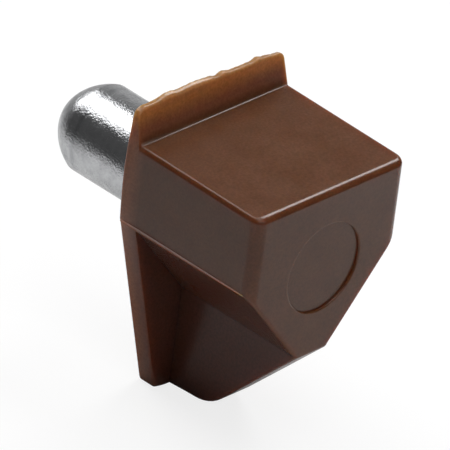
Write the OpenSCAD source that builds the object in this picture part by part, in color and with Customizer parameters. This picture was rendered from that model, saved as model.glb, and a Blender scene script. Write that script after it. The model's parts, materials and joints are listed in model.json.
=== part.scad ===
// Plug-in shelf support: a moulded plastic body on a plain steel pin.
// The pin's axis is Y and points into the cabinet's side panel.
// The origin is on that axis, in the back face that meets the panel, with +Z up.

/* [Block] */
// Width of the block and of the plate behind it
block_w = 10.7; // [9:0.1:16]
// Depth from the plate's back face to the block's front face
block_depth = 9.4; // [8:0.1:16]
// Height of the seat, where the shelf rests, above the pin's axis
seat_h = 4.7; // [4.2:0.1:8]
// Depth of the block's underside below the pin's axis
under_drop = 5; // [4.5:0.1:7]
// Height over which the sides lean in to the web, up from the underside
taper_h = 5; // [3:0.1:6]

/* [Plate] */
// Thickness of the plate that lies against the cabinet
plate_t = 1.2; // [0.8:0.1:2]
// Reach of the plate below the pin's axis
plate_drop = 10.7; // [8:0.1:16]
// Width of the plate at its foot
plate_foot_w = 4.4; // [4:0.1:9]

/* [Lip] */
// Rise of the lip above the seat
lip_h = 1.8; // [0.8:0.1:3]
// Thickness of the lip at the seat
lip_foot_t = 0.8; // [0.6:0.1:1.6]
// Thickness of the lip at its top edge
lip_top_t = 0.35; // [0.2:0.05:0.6]
// Radius of the lip's two top corners
lip_corner_r = 0.35; // [0.2:0.05:1.2]
// Radius where the lip's foot runs into the seat
lip_fillet_r = 0.2; // [0.1:0.05:0.5]

/* [Web] */
// Thickness of the web under the block, and width of the block's underside
web_w = 2.4; // [1.6:0.1:3.6]
// Length of the web's level foot, out from the plate
web_foot = 2.75; // [1.5:0.05:5]
// Radius between the web's level foot and its slope
web_corner_r = 2.5; // [0.5:0.1:3]

/* [Front recess] */
// Diameter of the round recess in the front face
recess_d = 5.05; // [2:0.05:7]
// Depth of the round recess
recess_depth = 0.15; // [0.1:0.05:0.8]
// Radius round the recess's rim
recess_rim_r = 0.1; // [0.05:0.05:0.2]

/* [Edges] */
// Radius along the seat's sides and front
seat_edge_r = 0.35; // [0.1:0.05:0.8]
// Radius down the two upright front edges
front_edge_r = 0.6; // [0.1:0.05:1]
// Radius along the block's lower front edges
low_edge_r = 0.25; // [0.1:0.05:0.6]
// Radius where the upright sides turn in
bend_r = 0.6; // [0.1:0.05:1.5]
// Radius round the plate's back face
plate_edge_r = 0.15; // [0.1:0.05:0.6]
// Radius of the plate's two foot corners
foot_corner_r = 0.3; // [0.2:0.05:1.2]

/* [Steel pin] */
// Diameter of the pin, for a 5 mm shelf hole
pin_d = 5; // [3:0.1:6]
// Length of pin that stands out of the plate
pin_out = 8.6; // [6:0.1:14]
// Length of pin inside the plastic
pin_in = 7; // [5:0.1:7.5]
// Length of the domed end
dome_l = 1.8; // [0.8:0.1:2.4]
// Profile radius of the domed end
dome_r = 3.6; // [2.6:0.1:6]
// Diameter of the flat left on the domed end
dome_flat_d = 2; // [1:0.1:2.4]
// Width of the groove that the plastic grips
groove_w = 1; // [0.7:0.1:2]
// Depth of that groove
groove_depth = 0.35; // [0.2:0.05:0.6]
// Straight pin left between the back face and the groove
groove_setback = 0.15; // [0.05:0.05:0.2]
// Chamfer on the pin's hidden end
pin_chamfer = 0.4; // [0.2:0.1:0.8]
// Gap between pin and plastic, none where it is moulded on
pin_gap = 0; // [0:0.01:0.05]

/* [Hidden] */
$fn = 64;
plastic_brown = "#5f4334";
plated_steel = "#c9cacc";
// Overshoot of every cutting tool
over = 1;

// Heights, all from the pin's axis
under_z = -under_drop;
bend_z = under_z + taper_h;
lip_z = seat_h + lip_h;
foot_z = -plate_drop;

half_w = block_w / 2;
half_web = web_w / 2;
half_foot = plate_foot_w / 2;
pin_r = pin_d / 2;
recess_r = recess_d / 2;
front_y = -block_depth;

// Outlines seen from the front, as [x, z] corners with a radius each
block_outline = [
    [-half_w, seat_h], [half_w, seat_h],
    [half_w, bend_z], [half_web, under_z],
    [-half_web, under_z], [-half_w, bend_z]
];
block_radii = [seat_edge_r, seat_edge_r, bend_r, 0, 0, bend_r];
// Radius of each front edge, starting with the seat's; the web covers the lowest
block_front_r = [seat_edge_r, front_edge_r, low_edge_r, 0, low_edge_r, front_edge_r];
plate_outline = [
    [-half_w, lip_z], [half_w, lip_z],
    [half_w, bend_z], [half_foot, foot_z],
    [-half_foot, foot_z], [-half_w, bend_z]
];
plate_radii = [lip_corner_r, lip_corner_r, bend_r, foot_corner_r, foot_corner_r, bend_r];

// The web seen from the side, as [y, z] corners
web_outline = [
    [-plate_t / 2, foot_z], [-plate_t / 2, bend_z],
    [front_y, bend_z], [front_y, under_z],
    [-plate_t - web_foot, foot_z]
];
web_radii = [0, 0, 0, low_edge_r, web_corner_r];

function unit(v) = v / norm(v);
function wrap(list, i) = list[(i + len(list)) % len(list)];
// Directions from corner i to its two neighbours
function to_last(p, i) = unit(wrap(p, i - 1) - p[i]);
function to_next(p, i) = unit(wrap(p, i + 1) - p[i]);
function half_angle(p, i) = acos(to_last(p, i) * to_next(p, i)) / 2;
// Where an arc of radius r in corner i starts, ends and has its centre
function arc_start(p, i, r) = p[i] + to_last(p, i) * r / tan(half_angle(p, i));
function arc_end(p, i, r) = p[i] + to_next(p, i) * r / tan(half_angle(p, i));
function arc_centre(p, i, r) =
    p[i] + unit(to_last(p, i) + to_next(p, i)) * r / sin(half_angle(p, i));

// A convex outline whose corners are true arcs
module rounded_outline(corners, radii) {
    last = len(corners) - 1;
    polygon([
        for (i = [0:last]) each radii[i] > 0
            ? [arc_start(corners, i, radii[i]), arc_end(corners, i, radii[i])]
            : [corners[i]]
    ]);
    for (i = [0:last])
        if (radii[i] > 0)
            translate(arc_centre(corners, i, radii[i])) circle(r = radii[i]);
}

// Stands a drawing of [x, z] points up between two depths
module across_depth(from_y, to_y) {
    translate([0, to_y, 0]) rotate([90, 0, 0]) linear_extrude(to_y - from_y) children();
}

// Stands a drawing of [y, z] points up over a width centred on X
module across_width(w) {
    translate([-w / 2, 0, 0]) rotate([90, 0, 90]) linear_extrude(w) children();
}

// Tool that rounds one straight edge: it removes what lies outside the arc.
// The edge runs from a to b, as [x, z], at depth y; side is 1 for a face towards +Y.
module edge_tool(a, b, y, r, side) {
    run = b - a;
    translate([a[0], y, a[1]])
        rotate([0, -atan2(run[1], run[0]), 0])
            rotate([90, 0, 90])
                translate([0, 0, -over])
                    linear_extrude(norm(run) + 2 * over)
                        difference() {
                            translate([side > 0 ? -r : -over, -r]) square([r + over, r + over]);
                            translate([-side * r, -r]) circle(r = r);
                        }
}

// Rounds the edges where a clockwise outline meets a flat face at depth y
module outline_edge_tools(corners, radii, y, side) {
    for (i = [0:len(corners) - 1])
        if (radii[i] > 0)
            edge_tool(corners[i], wrap(corners, i + 1), y, radii[i], side);
}

module block() {
    difference() {
        across_depth(front_y, -plate_t / 2) rounded_outline(block_outline, block_radii);
        outline_edge_tools(block_outline, block_front_r, front_y, -1);
    }
}

// Section through the plate and its wedge-shaped lip, as [y, z].
// The step from plate to lip lies inside the block, halfway up its sides.
module plate_section() {
    step_z = (seat_h + bend_z) / 2;
    polygon([
        [0, foot_z], [0, lip_z], [-lip_top_t, lip_z], [-lip_foot_t, seat_h],
        [-lip_foot_t, step_z], [-plate_t, step_z], [-plate_t, foot_z]
    ]);
}

module plate() {
    plate_back_r = [0, plate_edge_r, plate_edge_r, plate_edge_r, plate_edge_r, plate_edge_r];
    difference() {
        intersection() {
            across_depth(-max(plate_t, lip_foot_t), 0)
                rounded_outline(plate_outline, plate_radii);
            across_width(block_w + over) plate_section();
        }
        outline_edge_tools(plate_outline, plate_back_r, 0, 1);
    }
}

// Fills the corner between lip and seat up to a true arc
module lip_fillet() {
    across_width(block_w - 2 * seat_edge_r)
        difference() {
            translate([-lip_foot_t - lip_fillet_r, seat_h - lip_fillet_r])
                square([2 * lip_fillet_r, 2 * lip_fillet_r]);
            translate([-lip_foot_t - lip_fillet_r, seat_h + lip_fillet_r])
                circle(r = lip_fillet_r);
        }
}

module web() {
    across_width(web_w) rounded_outline(web_outline, web_radii);
}

// Profile of the pin as [radius, distance along the axis], grown by gap
module pin_profile(gap) {
    dome_y = pin_out - dome_l;
    groove_y = -groove_setback;
    // Centre of the dome's arc, through the straight wall's end and the flat's rim
    rim = [dome_flat_d / 2, pin_out];
    start = [pin_r, dome_y];
    chord = rim - start;
    sag = sqrt(dome_r ^ 2 - norm(chord) ^ 2 / 4);
    centre = (rim + start) / 2 + sag * unit([-chord[1], chord[0]]);
    arc_steps = 24;
    a_start = atan2(start[1] - centre[1], start[0] - centre[0]);
    a_rim = atan2(rim[1] - centre[1], rim[0] - centre[0]);
    polygon(concat(
        [
            [0, -pin_in - gap], [pin_r - pin_chamfer + gap, -pin_in - gap],
            [pin_r + gap, -pin_in + pin_chamfer], [pin_r + gap, groove_y - groove_w],
            [pin_r - groove_depth + gap, groove_y - groove_w],
            [pin_r - groove_depth + gap, groove_y], [pin_r + gap, groove_y]
        ],
        [
            for (i = [0:arc_steps])
                let (a = a_start + (a_rim - a_start) * i / arc_steps)
                    centre + (dome_r + gap) * [cos(a), sin(a)]
        ],
        [[0, pin_out + gap]]
    ));
}

module pin_shape(gap = 0) {
    rotate([-90, 0, 0]) rotate_extrude() pin_profile(gap);
}

// Tool that sinks the round recess and rounds its rim
module recess_tool() {
    translate([0, front_y, 0]) rotate([-90, 0, 0])
        rotate_extrude() {
            translate([0, -over]) square([recess_r, over + recess_depth]);
            difference() {
                translate([0, -over]) square([recess_r + recess_rim_r, over + recess_rim_r]);
                translate([recess_r + recess_rim_r, recess_rim_r]) circle(r = recess_rim_r);
            }
        }
}

module support_body() {
    color(plastic_brown)
        difference() {
            union() {
                block();
                plate();
                lip_fillet();
                web();
            }
            pin_shape(pin_gap);
            recess_tool();
        }
}

module steel_pin() {
    color(plated_steel) pin_shape();
}

support_body();
steel_pin();
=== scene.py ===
import json
import math

import bmesh
import bpy
from mathutils import Matrix, Vector


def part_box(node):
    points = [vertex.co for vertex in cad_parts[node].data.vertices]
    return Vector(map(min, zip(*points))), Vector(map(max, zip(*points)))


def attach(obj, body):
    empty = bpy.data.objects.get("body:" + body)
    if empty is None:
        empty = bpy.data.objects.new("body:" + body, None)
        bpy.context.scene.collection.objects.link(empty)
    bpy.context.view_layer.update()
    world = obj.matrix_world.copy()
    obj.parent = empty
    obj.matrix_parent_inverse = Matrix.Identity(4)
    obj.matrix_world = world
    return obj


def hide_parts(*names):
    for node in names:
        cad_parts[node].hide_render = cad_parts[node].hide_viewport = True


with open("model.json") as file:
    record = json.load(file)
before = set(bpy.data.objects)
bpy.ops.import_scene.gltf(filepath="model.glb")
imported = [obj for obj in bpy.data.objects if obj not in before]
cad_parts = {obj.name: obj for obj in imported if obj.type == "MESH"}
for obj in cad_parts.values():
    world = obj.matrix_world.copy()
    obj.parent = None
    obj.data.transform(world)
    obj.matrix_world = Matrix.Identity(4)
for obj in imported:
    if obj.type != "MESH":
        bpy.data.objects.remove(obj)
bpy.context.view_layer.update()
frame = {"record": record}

mm = 0.001
bodyLow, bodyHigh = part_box("support_body")
pinLow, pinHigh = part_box("steel_pin")
mounts = {mount["name"]: mount for mount in frame["record"]["mounts"]}
seatZ = mounts["seat"]["pos_m"][2]
pinRadius = mounts["pin"]["dims"]["r_mm"] * mm
print("frame loaded, body and pin measured")


def toLinear(hexColour):
    # sRGB hex such as "#5f432f" to the linear colour that a node takes
    channels = [int(hexColour[i:i + 2], 16) / 255 for i in (1, 3, 5)]
    return [c / 12.92 if c <= 0.04045 else ((c + 0.055) / 1.055) ** 2.4 for c in channels] + [1.0]


def addNode(tree, kind, inputs=None, stops=None, **settings):
    # inputs: socket name or number -> value or output socket; stops: colours of a ramp by place
    node = tree.nodes.new(kind)
    for name, value in settings.items():
        setattr(node, name, value)
    if stops:
        while len(node.color_ramp.elements) < len(stops):
            node.color_ramp.elements.new(0.5)
        for element, (place, colour) in zip(node.color_ramp.elements, stops):
            element.position = place
            element.color = toLinear(colour)
    for key, value in (inputs or {}).items():
        if isinstance(value, bpy.types.NodeSocket):
            tree.links.new(value, node.inputs[key])
        else:
            node.inputs[key].default_value = value
    return node


def newMaterial(name):
    material = bpy.data.materials.new(name)
    material.use_nodes = True
    material.node_tree.nodes.clear()
    return material, material.node_tree


# Brown nylon, injection moulded: satin skin with a faint grain, and light soaks in at thin edges
mouldedNylon = {
    "pigment": "#603a20",
    "pigmentDark": "#5a341b",
    "underside": "#573226",         # painted shade: a darker, duller brown below the bend, where less light reaches
    "paintedPlateGlow": "#875336",         # painted glow: a lighter brown on the back plate's thin sides, standing for light from behind that gets through
    "pigmentDepth": "#7a4f37",      # where the lip starts to let light through
    "amber": "#906a3e",             # higher up the lip
    "flash": "#8a6a48",             # the feathered top of the lip
    "undersideDrop": 0.6,           # mm below the bend over which the painted shade comes in
    "undersideSetback": (0.1, 0.6),     # mm behind the front face, where it starts
    "plateStart": (-1.3, -0.5),     # mm from the back face, where the plate's own look starts
    "edgeGlow": 0.6,                # mm in from the plate's sides
    "edgeAtFoot": 2.3,              # mm from the middle to the plate's side, down at the foot
    "lipStart": (0.05, 0.5),        # mm above the seat, where the lip's own look starts
    "lipRise": 0.1,                 # mm above the seat, where its colours start to change
    "lipWaver": 0.25,               # how far the clouding shifts them
    "mottle": 1.6,                  # mm, clouding of the pigment
    "speck": 0.13,                  # mm, fine grain of the pigment
    "speckStrength": 0.14,          # share lighter and darker
    "streak": (0.16, 1.4),          # mm wide and tall, flow marks up the lip
    "streakStrength": 0.05,
    "grain": 0.14,                  # mm, skin of the mould
    "grainDepth": 0.02,             # mm
    "grainStrength": 0.12,
    "softness": 2.5,                # mm that light travels under the skin
    "plateSoftness": 1.2,           # mm, in the back plate
    "lipSoftness": 2.0,             # mm, in the thin lip, where it shines right through
    "proudSoftness": 0.25,          # share of those where the skin stands out past the sides
    "proudStart": (0.005, 0.03),    # mm past the sides, where that starts
    "spread": (1.0, 0.42, 0.2),     # shares of the softness for red, green and blue
    "plateSpread": (1.0, 0.7, 0.5),
    "lipSpread": (1.0, 0.65, 0.4),
    "roughness": (0.2, 0.26),
}


def makeNylon():
    look = mouldedNylon
    material, tree = newMaterial("mouldedNylon")
    place = addNode(tree, "ShaderNodeTexCoord").outputs["Object"]
    along = addNode(tree, "ShaderNodeSeparateXYZ", {0: place}).outputs
    height = along["Z"]
    cloud = addNode(tree, "ShaderNodeTexNoise",
                    {"Vector": place, "Scale": 1 / (look["mottle"] * mm), "Detail": 3.0})
    pigment = addNode(tree, "ShaderNodeValToRGB", {0: cloud.outputs["Fac"]},
                      stops=[(0.3, look["pigmentDark"]), (0.7, look["pigment"])])
    # Painted shade: the undersides below the bend and behind the front face go darker and duller
    below = addNode(tree, "ShaderNodeMapRange",
                    {"Value": height, "From Min": 0.0, "From Max": -look["undersideDrop"] * mm})
    near, far = look["undersideSetback"]
    behind = addNode(tree, "ShaderNodeMapRange",
                     {"Value": along["Y"], "From Min": bodyLow.y + near * mm,
                      "From Max": bodyLow.y + far * mm})
    paintedShadeMask = addNode(tree, "ShaderNodeMath", {0: below.outputs[0], 1: behind.outputs[0]},
                       operation="MULTIPLY")
    low = addNode(tree, "ShaderNodeMix",
                  {0: paintedShadeMask.outputs[0], 6: pigment.outputs["Color"],
                   7: toLinear(look["underside"])}, data_type="RGBA")
    start, full = look["plateStart"]
    plate = addNode(tree, "ShaderNodeMapRange",
                    {"Value": along["Y"], "From Min": start * mm, "From Max": full * mm})
    # Painted glow: the plate's thin edges, which follow its narrowing sides, are coloured lighter,
    # as if light from behind came through
    aside = addNode(tree, "ShaderNodeMath", {0: along["X"]}, operation="ABSOLUTE")
    side = addNode(tree, "ShaderNodeMapRange",
                   {"Value": height, "From Min": 0.0, "From Max": bodyLow.z,
                    "To Min": bodyHigh.x, "To Max": look["edgeAtFoot"] * mm})
    inward = addNode(tree, "ShaderNodeMath", {0: side.outputs[0], 1: aside.outputs[0]},
                     operation="SUBTRACT")
    edge = addNode(tree, "ShaderNodeMapRange",
                   {"Value": inward.outputs[0], "From Min": look["edgeGlow"] * mm,
                    "From Max": 0.0})
    thinEdge = addNode(tree, "ShaderNodeMath", {0: plate.outputs[0], 1: edge.outputs[0]},
                       operation="MULTIPLY")
    body = addNode(tree, "ShaderNodeMix",
                   {0: thinEdge.outputs[0], 6: low.outputs[2],
                    7: toLinear(look["paintedPlateGlow"])}, data_type="RGBA")
    # The lip thins out above the seat; its colour runs from brown through red to amber, partly its
    # own tone, partly painted glow of light through it
    risen = addNode(tree, "ShaderNodeMapRange",
                    {"Value": height, "From Min": seatZ + look["lipRise"] * mm,
                     "From Max": bodyHigh.z})
    wavy = addNode(tree, "ShaderNodeMath", {0: cloud.outputs["Fac"], 1: -0.5}, operation="ADD")
    thin = addNode(tree, "ShaderNodeMath",
                   {0: wavy.outputs[0], 1: look["lipWaver"], 2: risen.outputs["Result"]},
                   operation="MULTIPLY_ADD")
    lip = addNode(tree, "ShaderNodeValToRGB", {0: thin.outputs[0]},
                  stops=[(0.0, look["pigmentDepth"]), (0.35, look["pigmentDepth"]),
                         (0.75, look["amber"]), (1.0, look["flash"])])
    start, full = look["lipStart"]
    onLip = addNode(tree, "ShaderNodeMapRange",
                    {"Value": height, "From Min": seatZ + start * mm, "From Max": seatZ + full * mm})
    colour = addNode(tree, "ShaderNodeMix",
                     {0: onLip.outputs["Result"], 6: body.outputs[2],
                      7: lip.outputs["Color"]}, data_type="RGBA")
    speck = addNode(tree, "ShaderNodeTexNoise",
                    {"Vector": place, "Scale": 1 / (look["speck"] * mm), "Detail": 2.0})
    lightness = addNode(tree, "ShaderNodeMapRange",
                        {"Value": speck.outputs["Fac"], "From Min": 0.3, "From Max": 0.7,
                         "To Min": 1 - look["speckStrength"],
                         "To Max": 1 + look["speckStrength"]})
    wide, tall = look["streak"]
    stretch = addNode(tree, "ShaderNodeMapping",
                      {"Vector": place, "Scale": (1 / (wide * mm), 1 / (tall * mm),
                                                  1 / (tall * mm))})
    flow = addNode(tree, "ShaderNodeTexNoise",
                   {"Vector": stretch.outputs[0], "Scale": 1.0, "Detail": 2.0})
    streaks = addNode(tree, "ShaderNodeMapRange",
                      {"Value": flow.outputs["Fac"], "From Min": 0.3, "From Max": 0.7,
                       "To Min": -look["streakStrength"], "To Max": look["streakStrength"]})
    tone = addNode(tree, "ShaderNodeMath",
                   {0: streaks.outputs[0], 1: onLip.outputs["Result"], 2: lightness.outputs[0]},
                   operation="MULTIPLY_ADD")
    speckled = addNode(tree, "ShaderNodeVectorMath",
                       {0: colour.outputs[2], "Scale": tone.outputs[0]}, operation="SCALE")
    inside = addNode(tree, "ShaderNodeMix",
                     {0: plate.outputs["Result"], 2: look["softness"] * mm,
                      3: look["plateSoftness"] * mm})
    within = addNode(tree, "ShaderNodeMix",
                     {0: onLip.outputs["Result"], 2: inside.outputs[0],
                      3: look["lipSoftness"] * mm})
    start, full = look["proudStart"]
    proud = addNode(tree, "ShaderNodeMapRange",
                    {"Value": aside.outputs[0], "From Min": bodyHigh.x + start * mm,
                     "From Max": bodyHigh.x + full * mm, "To Min": 1.0,
                     "To Max": look["proudSoftness"]})
    depth = addNode(tree, "ShaderNodeMath", {0: within.outputs[0], 1: proud.outputs[0]},
                    operation="MULTIPLY")
    skin = addNode(tree, "ShaderNodeTexNoise",
                   {"Vector": place, "Scale": 1 / (look["grain"] * mm), "Detail": 2.0})
    smoothest, roughest = look["roughness"]
    gloss = addNode(tree, "ShaderNodeMapRange",
                    {"Value": cloud.outputs["Fac"], "From Min": 0.3, "From Max": 0.7,
                     "To Min": smoothest, "To Max": roughest})
    bodySpread = addNode(tree, "ShaderNodeMix",
                         {0: plate.outputs["Result"], 4: look["spread"],
                          5: look["plateSpread"]}, data_type="VECTOR")
    spread = addNode(tree, "ShaderNodeMix",
                     {0: onLip.outputs["Result"], 4: bodySpread.outputs[1],
                      5: look["lipSpread"]}, data_type="VECTOR")
    grain = addNode(tree, "ShaderNodeBump",
                    {"Height": skin.outputs["Fac"], "Strength": look["grainStrength"],
                     "Distance": look["grainDepth"] * mm})
    plastic = addNode(tree, "ShaderNodeBsdfPrincipled",
                      {"Base Color": speckled.outputs[0], "Roughness": gloss.outputs["Result"],
                       "IOR": 1.45, "Subsurface Weight": 1.0, "Subsurface Radius": spread.outputs[1],
                       "Subsurface Scale": depth.outputs[0],
                       "Normal": grain.outputs["Normal"]})
    addNode(tree, "ShaderNodeOutputMaterial", {"Surface": plastic.outputs["BSDF"]})
    return material


# Turned steel, barrel plated with zinc: bright and clean, with a faintly pitted, uneven skin
zincPlatedSteel = {
    "plating": "#d2d3d5",
    "shadowPlating": "#babbbd",
    "ringPlating": "#84868b",       # faint darker ring round the barrel
    "ringPlace": 2.35,              # mm back from the tip
    "ringWidth": 0.5,               # mm
    "ringStrength": 0.35,
    "blotch": 0.55,                 # mm, uneven patches of the plating
    "blotchDepth": 0.045,           # mm
    "blotchStrength": 0.5,
    "pit": 0.11,                    # mm
    "pitDepth": 0.024,              # mm
    "pitStrength": 0.8,
    "roughness": (0.12, 0.26),
}


def makeSteel():
    look = zincPlatedSteel
    material, tree = newMaterial("zincPlatedSteel")
    place = addNode(tree, "ShaderNodeTexCoord").outputs["Object"]
    blotch = addNode(tree, "ShaderNodeTexNoise",
                     {"Vector": place, "Scale": 1 / (look["blotch"] * mm), "Detail": 4.0,
                      "Roughness": 0.6})
    colour = addNode(tree, "ShaderNodeValToRGB", {0: blotch.outputs["Fac"]},
                     stops=[(0.35, look["shadowPlating"]), (0.65, look["plating"])])
    along = addNode(tree, "ShaderNodeSeparateXYZ", {0: place}).outputs["Y"]
    ringPlace = pinHigh.y - look["ringPlace"] * mm
    fromRing = addNode(tree, "ShaderNodeMath", {0: along, 1: ringPlace}, operation="SUBTRACT")
    aside = addNode(tree, "ShaderNodeMath", {0: fromRing.outputs[0]}, operation="ABSOLUTE")
    ring = addNode(tree, "ShaderNodeMapRange",
                   {"Value": aside.outputs[0], "From Min": look["ringWidth"] / 2 * mm,
                    "From Max": 0.0, "To Max": look["ringStrength"]},
                   interpolation_type="SMOOTHSTEP")
    ringed = addNode(tree, "ShaderNodeMix",
                     {0: ring.outputs["Result"], 6: colour.outputs["Color"],
                      7: toLinear(look["ringPlating"])}, data_type="RGBA")
    low, high = look["roughness"]
    gloss = addNode(tree, "ShaderNodeMapRange",
                    {"Value": blotch.outputs["Fac"], "From Min": 0.3, "From Max": 0.7,
                     "To Min": high, "To Max": low})
    pits = addNode(tree, "ShaderNodeTexNoise",
                   {"Vector": place, "Scale": 1 / (look["pit"] * mm), "Detail": 3.0})
    skin = addNode(tree, "ShaderNodeBump",
                   {"Height": pits.outputs["Fac"], "Strength": look["pitStrength"],
                    "Distance": look["pitDepth"] * mm})
    waves = addNode(tree, "ShaderNodeBump",
                    {"Height": blotch.outputs["Fac"], "Strength": look["blotchStrength"],
                     "Distance": look["blotchDepth"] * mm, "Normal": skin.outputs["Normal"]})
    steel = addNode(tree, "ShaderNodeBsdfPrincipled",
                    {"Base Color": ringed.outputs[2], "Metallic": 1.0,
                     "Roughness": gloss.outputs["Result"], "Normal": waves.outputs["Normal"]})
    addNode(tree, "ShaderNodeOutputMaterial", {"Surface": steel.outputs["BSDF"]})
    return material


nylon = makeNylon()
steel = makeSteel()
print("materials made: moulded nylon and zinc plated steel")


def startTree(name, sizes, kind):
    # A geometry tree that takes a mesh, its sizes and a material
    tree = bpy.data.node_groups.new(name, "GeometryNodeTree")
    taken = [("Geometry", "Geometry")] + [(size, kind) for size in sizes]
    for socket, sort in taken + [("Material", "Material")]:
        tree.interface.new_socket(socket, in_out="INPUT", socket_type="NodeSocket" + sort)
    tree.interface.new_socket("Geometry", in_out="OUTPUT", socket_type="NodeSocketGeometry")
    return tree, addNode(tree, "NodeGroupInput").outputs


def endTree(tree, geometry, material):
    real = addNode(tree, "GeometryNodeRealizeInstances", {"Geometry": geometry})
    dressed = addNode(tree, "GeometryNodeSetMaterial",
                      {"Geometry": real.outputs[0], "Material": material})
    addNode(tree, "NodeGroupOutput", {0: dressed.outputs[0]})
    return tree


def makeLatheTree():
    # Geometry Nodes: turns a profile of [radius, distance] points round the Y axis
    tree, given = startTree("latheProfile", ["Sides"], "Int")
    rings = addNode(tree, "GeometryNodeAttributeDomainSize",
                    {"Geometry": given["Geometry"]}, component="MESH").outputs["Point Count"]
    columns = addNode(tree, "FunctionNodeIntegerMath", {0: given["Sides"], 1: 1}, operation="ADD")
    grid = addNode(tree, "GeometryNodeMeshGrid",
                   {"Vertices X": columns.outputs[0], "Vertices Y": rings})
    index = addNode(tree, "GeometryNodeInputIndex").outputs[0]
    ring = addNode(tree, "FunctionNodeIntegerMath", {0: index, 1: rings}, operation="MODULO")
    column = addNode(tree, "FunctionNodeIntegerMath", {0: index, 1: rings},
                     operation="DIVIDE_FLOOR")
    point = addNode(tree, "GeometryNodeSampleIndex",
                    {"Geometry": given["Geometry"], "Index": ring.outputs[0],
                     "Value": addNode(tree, "GeometryNodeInputPosition").outputs[0]},
                    data_type="FLOAT_VECTOR", domain="POINT")
    profile = addNode(tree, "ShaderNodeSeparateXYZ", {0: point.outputs[0]}).outputs
    share = addNode(tree, "ShaderNodeMath", {0: column.outputs[0], 1: given["Sides"]},
                    operation="DIVIDE")
    angle = addNode(tree, "ShaderNodeMath", {0: share.outputs[0], 1: math.tau},
                    operation="MULTIPLY").outputs[0]
    cosine = addNode(tree, "ShaderNodeMath", {0: angle}, operation="COSINE")
    sine = addNode(tree, "ShaderNodeMath", {0: angle}, operation="SINE")
    across = addNode(tree, "ShaderNodeMath", {0: profile["X"], 1: cosine.outputs[0]},
                     operation="MULTIPLY")
    up = addNode(tree, "ShaderNodeMath", {0: profile["X"], 1: sine.outputs[0]},
                 operation="MULTIPLY")
    place = addNode(tree, "ShaderNodeCombineXYZ",
                    {"X": across.outputs[0], "Y": profile["Y"], "Z": up.outputs[0]})
    turned = addNode(tree, "GeometryNodeSetPosition",
                     {"Geometry": grid.outputs["Mesh"], "Position": place.outputs[0]})
    closed = addNode(tree, "GeometryNodeMergeByDistance",
                     {"Geometry": turned.outputs[0], "Distance": 0.001 * mm})
    smooth = addNode(tree, "GeometryNodeSetShadeSmooth", {"Geometry": closed.outputs[0]})
    return endTree(tree, smooth.outputs[0], given["Material"])


def makeObject(name, points, edges=(), faces=()):
    mesh = bpy.data.meshes.new(name)
    mesh.from_pydata(points, edges, faces)
    obj = bpy.data.objects.new(name, mesh)
    bpy.context.scene.collection.objects.link(obj)
    return obj


def addNodesModifier(obj, tree, values):
    # values go in by the socket's identifier, found from its name, before the first evaluation
    modifier = obj.modifiers.new(tree.name, "NODES")
    modifier.node_group = tree
    for item in tree.interface.items_tree:
        if item.item_type == "SOCKET" and item.in_out == "INPUT" and item.name in values:
            modifier[item.identifier] = values[item.name]


def bakeModifiers(obj):
    depsgraph = bpy.context.evaluated_depsgraph_get()
    baked = bpy.data.meshes.new_from_object(obj.evaluated_get(depsgraph), depsgraph=depsgraph)
    obj.modifiers.clear()
    obj.data = baked


def tidyShell(obj):
    # One closed skin with its faces outwards
    shell = bmesh.new()
    shell.from_mesh(obj.data)
    bmesh.ops.remove_doubles(shell, verts=shell.verts, dist=0.0005 * mm)
    bmesh.ops.recalc_face_normals(shell, faces=shell.faces)
    shell.to_mesh(obj.data)
    shell.free()


latheTree = makeLatheTree()


def turnProfile(name, profile, material, sides=96):
    # profile: [radius, distance along the pin's axis] in mm
    points = [(radius * mm, along * mm, 0) for radius, along in profile]
    obj = makeObject(name, points, [(i, i + 1) for i in range(len(points) - 1)])
    addNodesModifier(obj, latheTree, {"Sides": sides, "Material": material})
    bakeModifiers(obj)
    tidyShell(obj)
    return obj


# The pin, in mm
steelPin = {
    "domeLength": 1.8,
    "domeRadius": 3.6,
    "domeFlat": 2.0,                # diameter of the dome's flat tip
    "grooveSetback": 0.15,          # from the plate's back face, inside the plastic
    "grooveWidth": 1.0,
    "grooveDepth": 0.35,
    "hiddenChamfer": 0.4,
    "domeSteps": 40,
    "sharpAngle": 35,               # degrees, the least turn that still shows as an edge
}


def pinProfile():
    size = steelPin
    radius = pinRadius / mm
    hidden, tip = pinLow.y / mm, pinHigh.y / mm
    start = Vector((radius, tip - size["domeLength"]))
    rim = Vector((size["domeFlat"] / 2, tip))
    chord = rim - start
    across = Vector((-chord.y, chord.x)).normalized()
    centre = (rim + start) / 2 + across * math.sqrt(size["domeRadius"] ** 2 - chord.length ** 2 / 4)
    first = math.atan2(start.y - centre.y, start.x - centre.x)
    last = math.atan2(rim.y - centre.y, rim.x - centre.x)
    dome = []
    for step in range(size["domeSteps"] + 1):
        angle = first + (last - first) * step / size["domeSteps"]
        dome.append((centre.x + size["domeRadius"] * math.cos(angle),
                     centre.y + size["domeRadius"] * math.sin(angle)))
    grooveEnd = -size["grooveSetback"]
    grooveStart = grooveEnd - size["grooveWidth"]
    waist = radius - size["grooveDepth"]
    return [(0, hidden), (radius - size["hiddenChamfer"], hidden),
            (radius, hidden + size["hiddenChamfer"]), (radius, grooveStart),
            (waist, grooveStart), (waist, grooveEnd), (radius, grooveEnd),
            (radius, 0.0)] + dome + [(0, tip)]


pin = turnProfile("steelPin", pinProfile(), steel)
pin.data.set_sharp_from_angle(angle=math.radians(steelPin["sharpAngle"]))
print("pin turned:", len(pin.data.polygons), "faces")


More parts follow.
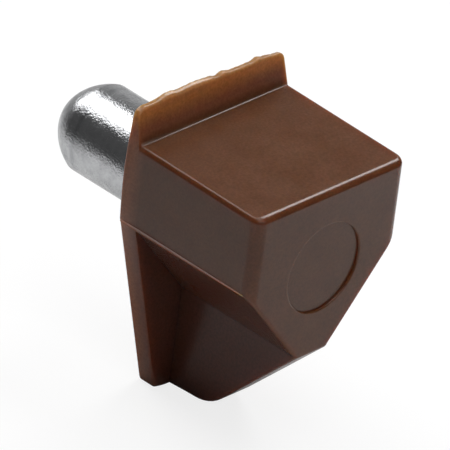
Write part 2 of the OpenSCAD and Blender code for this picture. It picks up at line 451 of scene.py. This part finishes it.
# The moulded body, in mm
supportBody = {
    "webWidth": 2.4,
    "webFoot": 2.75,                # how far the web's foot reaches forward of the plate
    "plateThickness": 1.2,
    "plateFootWidth": 4.6,
    "underDrop": 5.0,               # from the bend down to where the leaning undersides meet the web
    "lipFootThickness": 0.8,
    "lipTopThickness": 0.35,
    "recessRadius": 2.525,
    "recessDepth": 0.15,
    "recessRim": 0.1,
    "blockCorner": 0.68,
    "footWebCorner": 2.5,
    "lipCorner": 0.5,
    "lipTaper": 0.14,               # the lip is this much narrower at the top on each side
    "footCorner": 0.3,
    "seatFall": 0.12,               # the seat's front is this much lower than its back
    "plateBulge": 0.2,              # the plate's back edge swells this much between lip and bend
    "roundingSteps": 6,
    "sharpAngle": 28,               # degrees, the least turn that still shows as an edge
}

# Where the mould's halves met, a fine ridge of flash runs along the bend on both sides
partingRidge = {
    # mm out of the side face, and mm up from the bend
    "outline": ((-0.1, 0.14), (0.1, 0.045), (0.12, 0.02), (0.11, -0.02), (-0.1, -0.1)),
    # mm from the back face, and the outline's size there
    "along": ((-8.9, 0.15), (-8.1, 0.55), (-4.0, 0.9), (-1.2, 1.0), (-0.2, 0.6)),
    "sink": (0.0, 0.1),             # mm into the side face, left and right
}

# Edge radii in mm, by the two corners that an edge joins; a pair of radii is left and right.
# An arc's corners are numbered from 0, and its last one has Last in its name
alongRadii = {
    ("seatFront0", "seatBack"): 0.25,
    ("bendFrontLast", "underFront"): (0.24, 0.38),
    ("bendFront0", "bendPlate"): (0.25, 0.9),
    ("bendPlate", "bendBack"): 1.5,
    ("bendPlate", "footPlate0"): 0.12,
    ("footWebPlate", "footWeb0"): (0.18, 0.28),
    ("footWebLast", "underFront"): (0.18, 0.28),
}
acrossRadii = {"seatFrontLast": 0.42, "seatBack": 0.2, "underFront": 0.25}
webRadii = (0.18, 0.28)             # left and right
seatCornerRadii = (0.25, 0.42)      # round the seat's front corners, from the side to the front
# Rounded the same all the way along: the front rims of lip and foot, and the back face's rim
rimRadii = {"lipFront": 0.15, "lipBack": 0.12, "footPlate": 0.2, "footBack": 0.25}
sideRadii = (0.1, 0.25)             # the plate's back edge, from the lip down to the bend


def arcCorner(before, corner, after, radius):
    # Points of an arc that rounds an outline's corner
    steps = supportBody["roundingSteps"]
    corner = Vector(corner)
    toBefore = (Vector(before) - corner).normalized()
    toAfter = (Vector(after) - corner).normalized()
    half = toBefore.angle(toAfter) / 2
    centre = corner + (toBefore + toAfter).normalized() * radius / math.sin(half)
    start = corner + toBefore * radius / math.tan(half) - centre
    turn = (math.pi - 2 * half) / steps
    sense = 1 if start.x * toBefore.y - start.y * toBefore.x < 0 else -1
    return [centre + Matrix.Rotation(sense * turn * step, 2) @ start for step in range(steps + 1)]


def makeBodyCage():
    size = supportBody
    halfBlock = bodyHigh.x / mm
    front, foot, lipTop = bodyLow.y / mm, bodyLow.z / mm, bodyHigh.z / mm
    seat = seatZ / mm
    halfWeb, halfFoot = size["webWidth"] / 2, size["plateFootWidth"] / 2
    plate, lipFoot = -size["plateThickness"], -size["lipFootThickness"]
    steps = size["roundingSteps"]
    corners = {
        "seatBack": (halfBlock, lipFoot, seat),
        "bendBack": (halfBlock, 0, 0),
        "bendPlate": (halfBlock, plate, 0),
        "underFront": (halfWeb, front, -size["underDrop"]),
        "underBack": (halfWeb, plate, -size["underDrop"]),
        "footWebPlate": (halfWeb, plate, foot),
    }
    lean = (-size["lipTopThickness"] - lipFoot) / (lipTop - seat)
    lipArc = arcCorner((halfBlock, seat), (halfBlock - size["lipTaper"], lipTop), (0, lipTop),
                       size["lipCorner"])
    webArc = arcCorner((plate, foot), (plate - size["webFoot"], foot), (front, -size["underDrop"]),
                       size["footWebCorner"])
    for step, (y, z) in enumerate(webArc):
        corners["footWeb%d" % step] = (halfWeb, y, z)
    footArc = arcCorner((halfBlock, 0), (halfFoot, foot), (0, foot), size["footCorner"])
    blockArc = arcCorner((halfBlock, 0), (halfBlock, front), (0, front), size["blockCorner"])
    for step, (x, y) in enumerate(blockArc):
        corners["seatFront%d" % step] = (x, y, seat - size["seatFall"] * (lipFoot - y)
                                         / (lipFoot - front))
        corners["bendFront%d" % step] = (x, y, -size["underDrop"] * (halfBlock - x)
                                         / (halfBlock - halfWeb))
    for step, (x, z) in enumerate(lipArc):
        corners["lipFront%d" % step] = (x, lipFoot + lean * (z - seat), z)
        corners["lipBack%d" % step] = (x, 0, z)
    for step, (x, z) in enumerate(footArc):
        corners["footPlate%d" % step] = (x, plate, z)
        corners["footBack%d" % step] = (x, 0, z)
    # Down the plate's edge from the lip to the bend, straight in front and bulging at the back
    for step in range(1, steps):
        share = step / steps
        swell = size["plateBulge"] * math.sin(math.pi * share)
        corners["sideFront%d" % step] = (halfBlock, lipFoot + (plate - lipFoot) * share,
                                         seat * (1 - share))
        narrow = (halfBlock - lipArc[0].x) * (1 - share)
        corners["sideBack%d" % step] = (halfBlock - narrow + swell, 0, lipArc[0].y * (1 - share))

    def numbered(name, first=0, last=steps):
        return [name + str(step) for step in range(first, last + 1)]

    cage = bmesh.new()
    weight = cage.edges.layers.float.new("bevel_weight_edge")
    vert = {}
    for name, (x, y, z) in corners.items():
        for side in (-1, 1):
            vert[name, side] = cage.verts.new((side * x * mm, y * mm, z * mm))
            if name.endswith(str(steps)):
                vert[name.replace(str(steps), "Last"), side] = vert[name, side]
    sideFaces = [
        ["seatFront0", "seatBack"] + numbered("sideFront", 1, steps - 1)
        + ["bendPlate", "bendFront0"],
        ["seatBack", "lipFront0", "lipBack0", "sideBack1", "sideFront1"],
        ["sideFront%d" % (steps - 1), "sideBack%d" % (steps - 1), "bendBack", "bendPlate"],
        numbered("bendFront")[::-1] + ["bendPlate", "underBack", "underFront"],
        ["bendPlate"] + numbered("footPlate") + ["footWebPlate", "underBack"],
        ["bendPlate", "bendBack", "footBack0", "footPlate0"],
        ["underFront", "underBack", "footWebPlate"] + numbered("footWeb"),
    ]
    strips = [("sideFront", "sideBack", 1, steps - 1), ("seatFront", "bendFront", 0, steps),
              ("lipFront", "lipBack", 0, steps),
              ("footPlate", "footBack", 0, steps)]
    for one, other, first, last in strips:
        for step in range(first, last):
            sideFaces.append([one + str(step), one + str(step + 1), other + str(step + 1),
                              other + str(step)])
    for names in sideFaces:
        for side in (-1, 1):
            cage.faces.new([vert[name, side] for name in names])
    # Faces that span the width: down one side and back up the other
    backRim = (numbered("lipBack")[::-1] + numbered("sideBack", 1, steps - 1)
               + ["bendBack"] + numbered("footBack"))
    middleFaces = [
        ["seatFrontLast", "bendFrontLast", "underFront"],
        numbered("seatFront")[::-1] + ["seatBack"],
        ["seatBack"] + numbered("lipFront"),
        ["lipFrontLast", "lipBackLast"],
        backRim,
        ["underFront", "footWebLast"],
        ["footBackLast", "footPlateLast", "footWebPlate", "footWeb0"],
    ]
    for step in range(steps):
        middleFaces.append(["footWeb" + str(step + 1), "footWeb" + str(step)])
    for names in middleFaces:
        cage.faces.new([vert[name, -1] for name in names]
                       + [vert[name, 1] for name in reversed(names)])
    bmesh.ops.recalc_face_normals(cage, faces=cage.faces)

    offsets = {}

    def roundEdge(first, second, radius):
        # How far from the edge an arc of that radius starts
        edge = cage.edges.get((first, second))
        turn = edge.link_faces[0].normal.angle(edge.link_faces[1].normal)
        offsets[edge] = radius * math.tan(turn / 2)

    def roundChain(names, side, firstRadius, lastRadius):
        count = len(names) - 1
        for step in range(count):
            radius = firstRadius + (lastRadius - firstRadius) * (step + 0.5) / count
            roundEdge(vert[names[step], side], vert[names[step + 1], side], radius)

    def linkChain(before, names, after, side):
        # Goes evenly from one neighbour's rounding to the other's, so that no strip folds over
        first = offsets[cage.edges.get((vert[before, side], vert[names[0], side]))]
        last = offsets[cage.edges.get((vert[names[-1], side], vert[after, side]))]
        for step in range(1, len(names)):
            edge = cage.edges.get((vert[names[step - 1], side], vert[names[step], side]))
            offsets[edge] = first + (last - first) * step / (len(names) - 1)

    rims = {
        "lipFront": ["seatBack"] + numbered("lipFront"),
        "footPlate": numbered("footPlate"),
        "lipBack": numbered("lipBack"),
        "footBack": ["bendBack"] + numbered("footBack"),
    }
    sideRim = ["lipBack0"] + numbered("sideBack", 1, steps - 1) + ["bendBack"]
    for side in (-1, 1):
        for (first, second), radii in alongRadii.items():
            radius = radii if isinstance(radii, float) else radii[(side + 1) // 2]
            roundEdge(vert[first, side], vert[second, side], radius)
        for rim, names in rims.items():
            roundChain(names, side, rimRadii[rim], rimRadii[rim])
        roundChain(numbered("seatFront"), side, *seatCornerRadii)
        linkChain("bendPlate", numbered("bendFront"), "underFront", side)
        roundChain(sideRim, side, *sideRadii)
        webRadius = webRadii[(side + 1) // 2]
        roundChain(numbered("footWeb"), side, webRadius, webRadius)
    for name, radius in acrossRadii.items():
        roundEdge(vert[name, -1], vert[name, 1], radius)
    for rim in ("lipFront", "lipBack", "footBack"):
        roundEdge(vert[rim + "Last", -1], vert[rim + "Last", 1], rimRadii[rim])
    widest = max(offsets.values())
    for edge, offset in offsets.items():
        edge[weight] = offset / widest
    obj = makeObject("supportBody", [])
    cage.to_mesh(obj.data)
    cage.free()
    return obj, widest * mm


def combine(body, other, operation):
    join = body.modifiers.new(other.name, "BOOLEAN")
    join.operation = operation
    join.solver = "EXACT"
    join.object = other
    bakeModifiers(body)
    bpy.data.objects.remove(other)


def recessProfile():
    # A shallow round pocket in the front face, flared at its rim by a quarter arc
    radius, rim = supportBody["recessRadius"], supportBody["recessRim"]
    front, over = bodyLow.y / mm, 0.5
    floor = front + supportBody["recessDepth"]
    arc, steps = [], supportBody["roundingSteps"]
    for step in range(steps + 1):
        angle = math.radians(90) * step / steps
        arc.append((radius + rim - rim * math.sin(angle), front + rim - rim * math.cos(angle)))
    return [(0, front - over), (radius + rim, front - over)] + arc + [(radius, floor), (0, floor)]


def makePartingRidge(side):
    outline, along = partingRidge["outline"], partingRidge["along"]
    sink = partingRidge["sink"][(side + 1) // 2]
    points = [(side * (bodyHigh.x + (out * scale - sink) * mm), y * mm, up * scale * mm)
              for y, scale in along for out, up in outline]
    count, rings = len(outline), len(along)
    faces = [tuple(range(count)), tuple(range((rings - 1) * count, rings * count))]
    for ring in range(rings - 1):
        for step in range(count):
            following = (step + 1) % count
            first = ring * count
            faces.append((first + step, first + following, first + count + following,
                          first + count + step))
    ridge = makeObject("partingRidge", points, [], faces)
    tidyShell(ridge)
    return ridge


# The lip's top edge is feathered flash, never trimmed: it wanders by a tenth or two of a mm
raggedLip = {
    "cell": 0.14,                   # mm between the cuts that let the edge move
    "levels": (0.15, 0.45, 0.7, 0.85, 0.93),      # shares of the lip's height that are cut too
    "reach": 0.3,                   # mm, the furthest that the edge line below may wander
    "edgeLine": ((-5.3, 0.03), (-4.0, 0.06), (-3.4, 0.14), (-3.0, 0.21), (-2.6, 0.18),
                 (-2.3, 0.13), (-1.5, 0.16), (-0.7, 0.15), (0.1, 0.09), (0.45, 0.0),
                 (0.75, 0.07), (1.0, 0.1), (1.3, 0.0), (2.5, -0.05), (3.1, -0.03), (3.5, 0.06),
                 (3.8, -0.05), (4.3, -0.1), (4.8, -0.18)),   # mm across, mm above the drawn top
    "fineRise": 0.03,               # mm, small teeth on top of that
    "fineCell": 0.35,               # mm
    "still": 0.4,                   # share of the lip's height that stays as drawn
    "frontShare": 0.35,             # share of the movement that the lip's front rim takes
    "lean": 0.03,                   # mm in and out
    "seed": 4.0,
}


def cutFaces(shell, faces, place, normal):
    # Cuts only those faces, with their corners and edges, along a plane
    around = set(faces)
    for face in faces:
        around.update(face.verts)
        around.update(face.edges)
    bmesh.ops.bisect_plane(shell, geom=list(around), plane_co=place, plane_no=normal)


def sliceLip(body):
    # Cuts the lip into narrow cells, so that its top edge can be made uneven
    shell = bmesh.new()
    shell.from_mesh(body.data)
    levels = [seatZ + share * (bodyHigh.z - seatZ) for share in raggedLip["levels"]]
    overSeat, overFirstCut = seatZ + 0.1 * mm, levels[0] - 0.01 * mm
    for level in levels:
        high = [face for face in shell.faces if max(v.co.z for v in face.verts) > overSeat]
        cutFaces(shell, high, (0, 0, level), (0, 0, 1))
    cells = round((bodyHigh.x - bodyLow.x) / (raggedLip["cell"] * mm))
    for cell in range(1, cells):
        across = bodyLow.x + (bodyHigh.x - bodyLow.x) * cell / cells
        high = [face for face in shell.faces if min(v.co.z for v in face.verts) > overFirstCut]
        cutFaces(shell, high, (across, 0, 0), (1, 0, 0))
    shell.to_mesh(body.data)
    shell.free()


def makeRaggedLipTree():
    # Geometry Nodes: moves the lip's top up and down along its length, and leaves its foot alone
    tree, given = startTree("raggedLip", ["Foot", "Top", "Front", "Half Width", "Reach",
                                          "Fine Rise", "Fine Cell", "Lean", "Seed"], "Float")
    place = addNode(tree, "ShaderNodeSeparateXYZ",
                    {0: addNode(tree, "GeometryNodeInputPosition").outputs[0]}).outputs
    risen = addNode(tree, "ShaderNodeMapRange",
                    {"Value": place["Z"], "From Min": given["Foot"], "From Max": given["Top"]},
                    interpolation_type="SMOOTHSTEP")
    left = addNode(tree, "ShaderNodeMath", {0: given["Half Width"], 1: -1.0},
                   operation="MULTIPLY")
    along = addNode(tree, "ShaderNodeMapRange",
                    {"Value": place["X"], "From Min": left.outputs[0],
                     "From Max": given["Half Width"]})
    edge = addNode(tree, "ShaderNodeFloatCurve", {"Value": along.outputs["Result"]})
    half, reach = bodyHigh.x / mm, raggedLip["reach"]
    points = edge.mapping.curves[0].points
    for x, rise in raggedLip["edgeLine"]:
        points.new((x + half) / (2 * half), 0.5 + rise / (2 * reach))
    edge.mapping.update()
    wander = addNode(tree, "ShaderNodeMapRange",
                     {"Value": edge.outputs[0], "To Min": -1.0, "To Max": 1.0})
    wide = addNode(tree, "ShaderNodeMath", {0: wander.outputs[0], 1: given["Reach"]},
                   operation="MULTIPLY")
    steps = addNode(tree, "ShaderNodeMath", {0: place["X"], 1: given["Fine Cell"]},
                    operation="DIVIDE")
    seeded = addNode(tree, "ShaderNodeMath", {0: steps.outputs[0], 1: given["Seed"]},
                     operation="ADD")
    teeth = addNode(tree, "ShaderNodeTexNoise", {"W": seeded.outputs[0], "Scale": 1.0},
                    noise_dimensions="1D")
    swing = addNode(tree, "ShaderNodeMapRange",
                    {"Value": teeth.outputs[0], "From Min": 0.25, "From Max": 0.75,
                     "To Min": -1.0, "To Max": 1.0})
    rise = addNode(tree, "ShaderNodeMath",
                   {0: swing.outputs[0], 1: given["Fine Rise"], 2: wide.outputs[0]},
                   operation="MULTIPLY_ADD")
    lean = addNode(tree, "ShaderNodeMath", {0: wander.outputs[0], 1: given["Lean"]},
                   operation="MULTIPLY")
    offset = addNode(tree, "ShaderNodeCombineXYZ", {"Y": lean.outputs[0], "Z": rise.outputs[0]})
    # The teeth stand on the back of the lip, and its front rim follows them less
    behind = addNode(tree, "ShaderNodeMapRange",
                     {"Value": place["Y"], "From Min": given["Front"], "From Max": 0.0,
                      "To Min": raggedLip["frontShare"], "To Max": 1.0})
    share = addNode(tree, "ShaderNodeMath", {0: risen.outputs["Result"], 1: behind.outputs[0]},
                    operation="MULTIPLY")
    masked = addNode(tree, "ShaderNodeVectorMath",
                     {0: offset.outputs[0], "Scale": share.outputs[0]}, operation="SCALE")
    moved = addNode(tree, "GeometryNodeSetPosition",
                    {"Geometry": given["Geometry"], "Offset": masked.outputs[0]})
    return endTree(tree, moved.outputs[0], given["Material"])


def roughenLip(body):
    look = raggedLip
    addNodesModifier(body, makeRaggedLipTree(), {
        "Foot": seatZ + look["still"] * (bodyHigh.z - seatZ), "Top": bodyHigh.z,
        "Front": -supportBody["lipTopThickness"] * mm, "Half Width": bodyHigh.x,
        "Reach": look["reach"] * mm, "Fine Rise": look["fineRise"] * mm,
        "Fine Cell": look["fineCell"] * mm, "Lean": look["lean"] * mm, "Seed": look["seed"],
        "Material": nylon})
    bakeModifiers(body)


def smoothShell(obj):
    # Large flat faces keep their own direction, and the rounded strips blend between them
    obj.data.shade_smooth()
    obj.data.set_sharp_from_angle(angle=math.radians(supportBody["sharpAngle"]))
    weighting = obj.modifiers.new("flat faces first", "WEIGHTED_NORMAL")
    weighting.keep_sharp = True
    bakeModifiers(obj)


body, widestOffset = makeBodyCage()
rounding = body.modifiers.new("rounded edges", "BEVEL")
rounding.limit_method = "WEIGHT"
rounding.width = widestOffset
rounding.segments = supportBody["roundingSteps"]
rounding.use_clamp_overlap = False
rounding.miter_outer = "MITER_SHARP"
bakeModifiers(body)
tidyShell(body)
print("body cage rounded:", len(body.data.polygons), "faces")
combine(body, turnProfile("recessCutter", recessProfile(), nylon, 128), "DIFFERENCE")
combine(body, turnProfile("pinBore", pinProfile(), nylon), "DIFFERENCE")
for side in (-1, 1):
    combine(body, makePartingRidge(side), "UNION")
print("recess and pin bore cut, parting ridges added:", len(body.data.polygons), "faces")
sliceLip(body)
tidyShell(body)
roughenLip(body)
smoothShell(body)
print("lip roughened and shell smoothed:", len(body.data.polygons), "faces")

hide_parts("support_body")
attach(body, "root")
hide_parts("steel_pin")
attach(pin, "root")


# The studio: sizes and distances in metres, directions seen from the part
studio = {
    "floorSide": 1.6,
    "floorMiddle": (0.001, -0.01),
    "floorColour": "#d2d2d2",
    "paintedFloorLight": "#ececec",
    "floorBrighter": (0.013, 0.024),    # right of the middle, painted light: the sheet lightens between these
    "floorLit": (0.035, 0.065),     # from the middle, the sheet's light fades between these
    "paintedFloorShade": "#8c8c8c",        # painted shade, where the part's own shade falls
    "dimMiddle": (-0.004, 0.013),   # that painted shade's place, from the floor's middle
    "floorDim": (0.002, 0.0095),    # from there, it fades between these
    "floorShadow": 0.2,             # how much of the shadow the camera is shown
    "roomGlow": 0.075,
    "wallGlow": 0.48,               # the pale wall on the right, as the steel sees it
    "wallSide": (-0.2, 0.85),       # it brightens to the right between these
    "wallBack": (0.0, 0.45),        # and to the back
    "wallTop": (0.0, 0.75),         # and dims upwards
    "wallTopShare": 0.1,            # to this share
    "softboxes": {
        "backSoftbox": {"direction": (0.03, 0.76, 0.65), "roll": -22, "size": (0.54, 1.2),
                        "radiance": 3.0},
        "sideSoftbox": {"direction": (0.645, 0.15, 0.74), "roll": 0, "size": (0.36, 0.5),
                        "radiance": 8.0},
        "topSoftbox": {"direction": (0.0, -0.1, 0.99), "roll": 0, "size": (0.7, 0.8),
                       "radiance": 1.9},
        "frontSoftbox": {"direction": (-0.15, -0.72, 0.65), "roll": 0, "size": (1.0, 0.8),
                         "radiance": 0.9},
    },
}


def makeFloor():
    side = studio["floorSide"] / 2
    floor = makeObject("paleFloor", [(-side, -side, 0), (side, -side, 0), (side, side, 0),
                                     (-side, side, 0)], [], [(0, 1, 2, 3)])
    floor.location = (*studio["floorMiddle"], bodyLow.z)
    # Matt paper: it gives no gloss, only soft light from below
    material, tree = newMaterial("palePaper")
    ray = addNode(tree, "ShaderNodeLightPath").outputs
    # The camera sees white with a light shadow; the part sees a sheet with painted light and shade,
    # which fades outwards
    white = addNode(tree, "ShaderNodeEmission", {"Strength": 1.0})
    shown = addNode(tree, "ShaderNodeBsdfDiffuse", {"Color": toLinear("#fefefe")})
    seen = addNode(tree, "ShaderNodeMixShader",
                   {0: studio["floorShadow"], 1: white.outputs[0], 2: shown.outputs[0]})
    place = addNode(tree, "ShaderNodeTexCoord").outputs["Object"]
    away = addNode(tree, "ShaderNodeVectorMath", {0: place}, operation="LENGTH")
    # Painted shade: the sheet is coloured darker round the place under the part
    shade = addNode(tree, "ShaderNodeVectorMath", {0: place, 1: (*studio["dimMiddle"], 0)},
                    operation="DISTANCE")
    dimNear, dimFar = studio["floorDim"]
    under = addNode(tree, "ShaderNodeMapRange",
                    {"Value": shade.outputs["Value"], "From Min": dimNear, "From Max": dimFar})
    # Painted light: towards the right the sheet is coloured lighter, as the part sees it
    start, end = studio["floorBrighter"]
    rightward = addNode(tree, "ShaderNodeMapRange",
                        {"Value": addNode(tree, "ShaderNodeSeparateXYZ", {0: place}).outputs["X"],
                         "From Min": start, "From Max": end})
    lit = addNode(tree, "ShaderNodeMix",
                  {0: rightward.outputs["Result"], 6: toLinear(studio["floorColour"]),
                   7: toLinear(studio["paintedFloorLight"])}, data_type="RGBA")
    tone = addNode(tree, "ShaderNodeMix",
                   {0: under.outputs["Result"], 6: toLinear(studio["paintedFloorShade"]),
                    7: lit.outputs[2]}, data_type="RGBA")
    paper = addNode(tree, "ShaderNodeBsdfDiffuse", {"Color": tone.outputs[2]})
    near, far = studio["floorLit"]
    faded = addNode(tree, "ShaderNodeMapRange",
                    {"Value": away.outputs["Value"], "From Min": near, "From Max": far})
    room = addNode(tree, "ShaderNodeBsdfTransparent")
    sheet = addNode(tree, "ShaderNodeMixShader",
                    {0: faded.outputs["Result"], 1: paper.outputs[0], 2: room.outputs[0]})
    surface = addNode(tree, "ShaderNodeMixShader",
                      {0: ray["Is Camera Ray"], 1: sheet.outputs[0], 2: seen.outputs[0]})
    addNode(tree, "ShaderNodeOutputMaterial", {"Surface": surface.outputs[0]})
    floor.data.materials.append(material)


def makeWorld():
    world = bpy.data.worlds.new("studioRoom")
    world.use_nodes = True
    tree = world.node_tree
    tree.nodes.clear()
    ray = addNode(tree, "ShaderNodeLightPath").outputs
    direction = addNode(tree, "ShaderNodeTexCoord").outputs["Generated"]
    toward = addNode(tree, "ShaderNodeSeparateXYZ", {0: direction}).outputs
    # Dark on the left, a pale wall behind on the right that dims upwards
    wall = addNode(tree, "ShaderNodeMapRange",
                   {"Value": toward["X"], "From Min": studio["wallSide"][0],
                    "From Max": studio["wallSide"][1], "To Max": studio["wallGlow"]})
    behind = addNode(tree, "ShaderNodeMapRange",
                     {"Value": toward["Y"], "From Min": studio["wallBack"][0],
                      "From Max": studio["wallBack"][1]})
    upper = addNode(tree, "ShaderNodeMapRange",
                    {"Value": toward["Z"], "From Min": studio["wallTop"][0],
                     "From Max": studio["wallTop"][1], "To Min": 1.0,
                     "To Max": studio["wallTopShare"]})
    placed = addNode(tree, "ShaderNodeMath", {0: wall.outputs[0], 1: behind.outputs[0]},
                     operation="MULTIPLY")
    dimmed = addNode(tree, "ShaderNodeMath",
                     {0: placed.outputs[0], 1: upper.outputs[0], 2: studio["roomGlow"]},
                     operation="MULTIPLY_ADD")
    shiny = addNode(tree, "ShaderNodeMix",
                    {0: ray["Is Glossy Ray"], 2: studio["roomGlow"], 3: dimmed.outputs[0]})
    seen = addNode(tree, "ShaderNodeMix", {0: ray["Is Camera Ray"], 2: shiny.outputs[0], 3: 1.0})
    glow = addNode(tree, "ShaderNodeBackground",
                   {"Color": (1, 1, 1, 1), "Strength": seen.outputs[0]})
    addNode(tree, "ShaderNodeOutputWorld", {"Surface": glow.outputs[0]})
    bpy.context.scene.world = world


def makeSoftbox(name, setting, distance=1.0):
    width, height = setting["size"]
    lamp = bpy.data.lights.new(name, "AREA")
    lamp.shape = "RECTANGLE"
    lamp.size, lamp.size_y = width, height
    lamp.energy = setting["radiance"] * math.pi * width * height
    obj = bpy.data.objects.new(name, lamp)
    bpy.context.scene.collection.objects.link(obj)
    toLamp = Vector(setting["direction"]).normalized()
    turned = toLamp.to_track_quat("Z", "Y").to_matrix().to_4x4()
    roll = Matrix.Rotation(math.radians(setting["roll"]), 4, "Z")
    obj.matrix_world = Matrix.Translation(toLamp * distance) @ turned @ roll


# The camera: degrees, metres back from the point that it looks at, and that point in mm
studioCamera = {
    "azimuth": -48.99,
    "elevation": 31.34,
    "roll": 7.51,
    "distance": 0.78,
    "aim": (-0.565, -2.98, -0.561),
    "lens": 1235.5,                 # mm of focal length
}


def makeCamera():
    view = studioCamera
    azimuth, elevation = math.radians(view["azimuth"]), math.radians(view["elevation"])
    back = Vector((math.sin(azimuth) * math.cos(elevation),
                   -math.cos(azimuth) * math.cos(elevation), math.sin(elevation)))
    level = back.to_track_quat("Z", "Y").to_matrix().to_4x4()
    roll = Matrix.Rotation(math.radians(view["roll"]), 4, "Z")
    lens = bpy.data.cameras.new("camera")
    lens.lens = view["lens"]
    lens.clip_start, lens.clip_end = 0.01, 5.0
    camera = bpy.data.objects.new("camera", lens)
    bpy.context.scene.collection.objects.link(camera)
    place = Matrix.Translation(Vector(view["aim"]) * mm + back * view["distance"])
    camera.matrix_world = place @ level @ roll
    bpy.context.scene.camera = camera


makeFloor()
makeWorld()
for name, setting in studio["softboxes"].items():
    makeSoftbox(name, setting)
makeCamera()
bpy.context.scene.view_settings.view_transform = "Standard"
print("studio lit and camera set")
